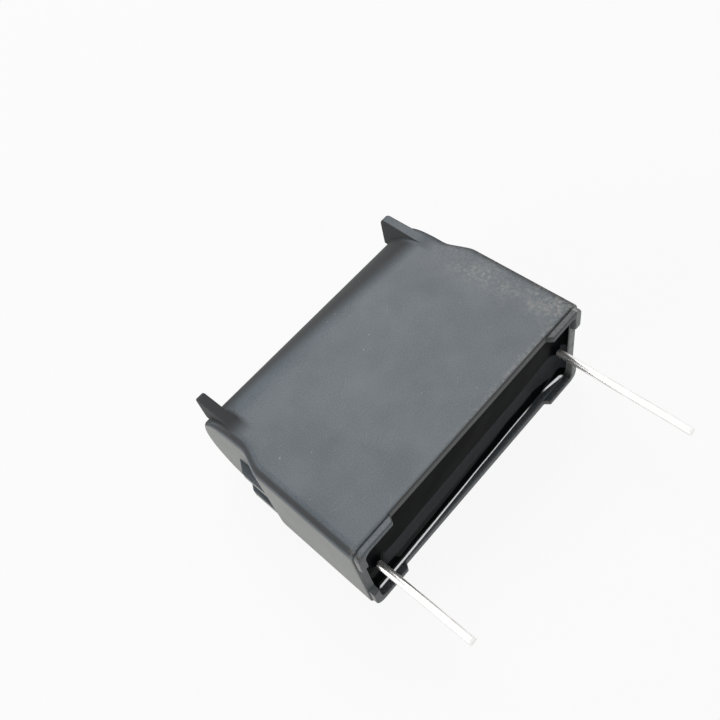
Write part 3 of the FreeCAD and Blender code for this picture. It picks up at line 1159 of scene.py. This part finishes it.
@dataclass
class Resin:
    """The poured resin, whose wetted surface climbs the walls and the two wires."""

    case: Case
    near_depth: float = 1.0
    far_depth: float = 1.42
    least_climb: float = 0.12
    near_climb: float = 0.16
    near_climb_end: float = 4.0
    near_climb_run: float = 18.0
    far_climb: float = 0.60
    far_climb_start: float = 11.0
    far_climb_run: float = 4.5
    wide_share: float = 0.12
    wide_climb: float = 0.95
    wick_height: float = 0.42
    wick_climb: float = 0.22
    shared_climb: float = 0.3
    wander: float = 0.02
    wander_lumps: float = 0.35
    wander_layer: float = 1.7
    into_wall: float = 0.06
    slab: float = 2.2
    overlap: float = 0.3
    columns: int = 220
    rows: int = 120
    finish: PouredResin = PouredResin()

    def build(self) -> None:
        """Builds the resin in place of the frame's plain solid."""
        form, filling = Form(), Form()
        self._pour(form)
        levels = self.case.levels(self.case.inside, self.slab - self.overlap)
        rings = self.case.rings(filling, levels)
        filling.skin(rings)
        filling.face(rings[0])
        form.take(filling)
        form.piece("poured_resin", "potting_resin", self.finish.material(), Slot.RESIN)

    def depth(self, x: float, z: float) -> float:
        """Finds how far above the plane of the feet the resin's surface lies.

        Args:
            x: Millimetres along the case.
            z: Millimetres from the mid-plane.

        Returns:
            The height in millimetres.
        """
        radius, half_x = LAYOUT.inner_corner, self.case.half_opening
        out_x, out_z = abs(x) - half_x + radius, abs(z) - LAYOUT.half_inside + radius
        reach = math.hypot(max(out_x, 0.0), max(out_z, 0.0)) + min(max(out_x, out_z), 0.0)
        from_wall = max(radius - reach, 0.0)
        drop = self.far_depth - self.near_depth
        flat = self.near_depth + drop * smooth(x / (2 * half_x) + 0.5)
        climb = self.least_climb
        climb += self.near_climb * smooth((self.near_climb_end - x) / self.near_climb_run)
        climb += self.far_climb * smooth((x - self.far_climb_start) / self.far_climb_run)
        wall = self.wide_share * climb * math.exp(-from_wall / self.wide_climb)
        bend = (1 - self.wide_share) * climb
        if from_wall < bend:
            wall += bend - math.sqrt(bend**2 - (bend - from_wall) ** 2)
        from_wire = math.hypot(abs(x) - LAYOUT.lead_pitch / 2, z) - LAYOUT.lead_diameter / 2
        wick = self.wick_height * math.exp(-max(from_wire, 0.0) / self.wick_climb)
        lumps = Vector((self.wander_lumps * x, self.wander_lumps * z, self.wander_layer))
        drift = self.wander * noise.noise(lumps)
        return flat - max(wall, wick) - self.shared_climb * min(wall, wick) + drift

    def _pour(self, form: Form) -> None:
        """Adds a slab whose outer face is the resin's surface, finest next to the walls.

        Args:
            form: The form that takes the slab.
        """
        reach_x = self.case.half_opening + self.into_wall
        reach_z = LAYOUT.half_inside + self.into_wall
        across = [-reach_z * math.cos(math.pi * j / self.rows) for j in range(self.rows + 1)]
        grid = []
        for i in range(self.columns + 1):
            x = -reach_x * math.cos(math.pi * i / self.columns)
            grid.append(form.ring((x, self.depth(x, z), z) for z in across))
        for row, following in zip(grid, grid[1:]):
            for j in range(self.rows):
                form.face((row[j], row[j + 1], following[j + 1], following[j]))
        edge = grid[0] + [row[-1] for row in grid[1:]] + grid[-1][-2::-1]
        edge += [row[0] for row in grid[-2:0:-1]]
        below = []
        for vertex in edge:
            copy = form.mesh.verts.new(vertex.co)
            copy.co.y = (LAYOUT.rim + self.slab) * MM
            below.append(copy)
        form.skin([edge, below])
        form.face(below)


@dataclass
class Lead:
    """One tinned wire with a snipped tip."""

    end: End
    reach: float
    top: float = 11.6
    sides: int = 40
    steps: int = 40
    first_step: float = 0.02
    straight_tip: float = 0.1
    snip: float = 0.22
    snip_width: float = 0.62
    snip_steps: int = 4
    waver: float = 0.012
    waver_start: float = 4.0
    waver_turn: float = 0.55

    def build(self, material: Material) -> None:
        """Builds the wire in place of the frame's plain solid.

        Args:
            material: The wire's finish, which both wires share.
        """
        radius = LAYOUT.lead_diameter / 2
        loops = [self._loop(self.top, radius)]
        length = self.top + self.reach - self.snip - self.straight_tip
        for i in range(self.steps + 1):
            share = (i + self.first_step) / (self.steps + self.first_step)
            loops.append(self._loop(self.top - length * share, radius))
        for i in range(1, self.snip_steps + 1):
            share = i / self.snip_steps
            pinch = 1 - (1 - self.snip_width) * smooth(share)
            height = -self.reach + self.snip * (1 - share)
            loops.append(self._loop(height, radius * pinch))
        form = Form()
        form.loft(loops)
        form.settle()
        end = self.end.name.lower()
        form.piece(f"wire_{end}", f"lead_{end}", material, Slot.WIRE)

    def _loop(self, height: float, half_thickness: float) -> list[Place]:
        """Walks round the wire, which wavers a little outside the case.

        Args:
            height: At which height.
            half_thickness: Half the wire's size along Z, which the snip makes smaller.

        Returns:
            The places.
        """
        outside = smooth(-height / self.waver_start)
        sway = self.waver * outside * math.sin(self.waver_turn * height + self.reach)
        middle = self.end.value * LAYOUT.lead_pitch / 2 + sway
        loop = []
        for i in range(self.sides):
            angle = 2 * math.pi * i / self.sides
            x = middle + LAYOUT.lead_diameter / 2 * math.cos(angle)
            loop.append((x, height, sway + half_thickness * math.sin(angle)))
        return loop


@dataclass
class SealedParts:
    """The pieces that the resin hides, which keep the solids of the frame."""

    finishes: tuple[tuple[TexturedFinish, tuple[str, ...]], ...] = (
        (METALLISED_FILM, ("film_winding",)),
        (PLAIN_FILM, ("outer_wrap",)),
        (SPRAYED_ZINC, ("end_spray_near", "end_spray_far")),
        (SOFT_SOLDER, ("solder_bead_near", "solder_bead_far")),
    )

    def dress(self, nodes: dict[str, bpy.types.Object]) -> None:
        """Gives each of the frame's sealed solids its finish.

        Args:
            nodes: The frame's solids by name.
        """
        for finish, names in self.finishes:
            material = finish.material()
            for name in names:
                data = nodes[name].data
                data.materials.clear()
                data.materials.append(material)
                log.info("%s: dressed", name)


@dataclass(frozen=True)
class Softbox:
    """A soft lamp that faces the part: its place and sides in metres, and its watts."""

    name: str
    place: Place
    sides: Span
    power: float

    def hang(self) -> None:
        """Adds the lamp, which the camera doesn't see."""
        data = bpy.data.lights.new(self.name, "AREA")
        data.shape = "RECTANGLE"
        data.size, data.size_y = self.sides
        data.energy = self.power
        lamp = bpy.data.objects.new(self.name, data)
        lamp.location = self.place
        lamp.rotation_mode = "QUATERNION"
        lamp.rotation_quaternion = (-Vector(self.place)).to_track_quat("-Z", "Y")
        lamp.visible_camera = False
        bpy.context.scene.collection.objects.link(lamp)
        log.info("%s: hung", self.name)


@dataclass
class Studio:
    """The pale floor, the soft lamps, the white surroundings and the camera, in metres."""

    floor_size: float = 1.6
    floor_sides: int = 96
    floor_colour: Colour = (0.50, 0.50, 0.50)
    floor_roughness: float = 0.9
    floor_specular: float = 0.2
    floor_white: float = 0.92
    surroundings: float = 0.22
    lamps: tuple[Softbox, ...] = (
        Softbox("key_softbox", (0.13, 0.193, 0.349), (0.28, 0.28), 1.29),
        Softbox("end_softbox", (-0.33, 0.12, 0.12), (0.24, 0.20), 1.15),
    )
    camera_place: Place = (-0.02593, -0.02896, 0.0801)
    camera_right: Place = (0.6643, -0.7301, -0.1601)
    camera_forward: Place = (0.3064, 0.4614, -0.8326)
    camera_range: Span = (0.005, 5.0)
    lens: float = 42.9
    sensor: float = 36.0

    def build(self) -> None:
        """Builds the whole studio."""
        self._floor()
        self._world()
        for lamp in self.lamps:
            lamp.hang()
        self._camera()

    def _floor(self) -> None:
        """Lays a wide plain floor that the camera sees as white under its soft shadows."""
        form = bmesh.new()
        bmesh.ops.create_circle(
            form, cap_ends=True, segments=self.floor_sides, radius=self.floor_size / 2
        )
        data = bpy.data.meshes.new("floor")
        form.to_mesh(data)
        form.free()
        floor = bpy.data.objects.new("floor", data)
        bpy.context.scene.collection.objects.link(floor)
        graph = Finish(
            "floor",
            Roughness=self.floor_roughness,
            Specular_IOR_Level=self.floor_specular,
            Base_Color=(*self.floor_colour, 1.0),
        )
        glow = graph.nodes.new("ShaderNodeEmission").outputs["Emission"]
        target = graph.nodes["Material Output"].inputs["Surface"]
        graph.whiten(graph.shader.outputs["BSDF"], glow, self.floor_white, target)
        data.materials.append(graph.owner)
        log.info("floor: laid")

    def _world(self) -> None:
        """Makes even surroundings, which show as white and light the object softly."""
        world = bpy.data.worlds.new("surroundings")
        bpy.context.scene.world = world
        graph = Graph(world)
        light = graph.nodes["Background"]
        white = graph.nodes.new("ShaderNodeBackground")
        for node, strength in ((light, self.surroundings), (white, 1.0)):
            node.inputs["Strength"].default_value = strength
            node.inputs["Color"].default_value = (1.0, 1.0, 1.0, 1.0)
        target = graph.nodes["World Output"].inputs["Surface"]
        graph.whiten(light.outputs["Background"], white.outputs["Background"], 1.0, target)

    def _camera(self) -> None:
        """Puts the camera at the place and angle of the photograph's."""
        data = bpy.data.cameras.new("camera")
        data.sensor_width = self.sensor
        data.lens = self.lens
        data.clip_start, data.clip_end = self.camera_range
        camera = bpy.data.objects.new("camera", data)
        bpy.context.scene.collection.objects.link(camera)
        right, forward = Vector(self.camera_right), Vector(self.camera_forward)
        forward.normalize()
        right = (right - right.dot(forward) * forward).normalized()
        upward = right.cross(forward)
        turned = Matrix((right, upward, -forward)).transposed()
        camera.matrix_world = Matrix.Translation(self.camera_place) @ turned.to_4x4()
        bpy.context.scene.camera = camera


def main() -> None:
    """Builds the capacitor over its frame, then the studio round it."""
    logging.basicConfig(level=logging.INFO, format="%(name)s %(message)s")
    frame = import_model()
    case = Case()
    case.build()
    Resin(case).build()
    wire = TINNED_WIRE.material()
    Lead(End.NEAR, LAYOUT.near_reach).build(wire)
    Lead(End.FAR, LAYOUT.far_reach).build(wire)
    SealedParts().dress(frame["nodes"])
    Studio().build()
    bpy.context.scene.view_settings.view_transform = "Standard"


if __name__ == "__main__":
    main()
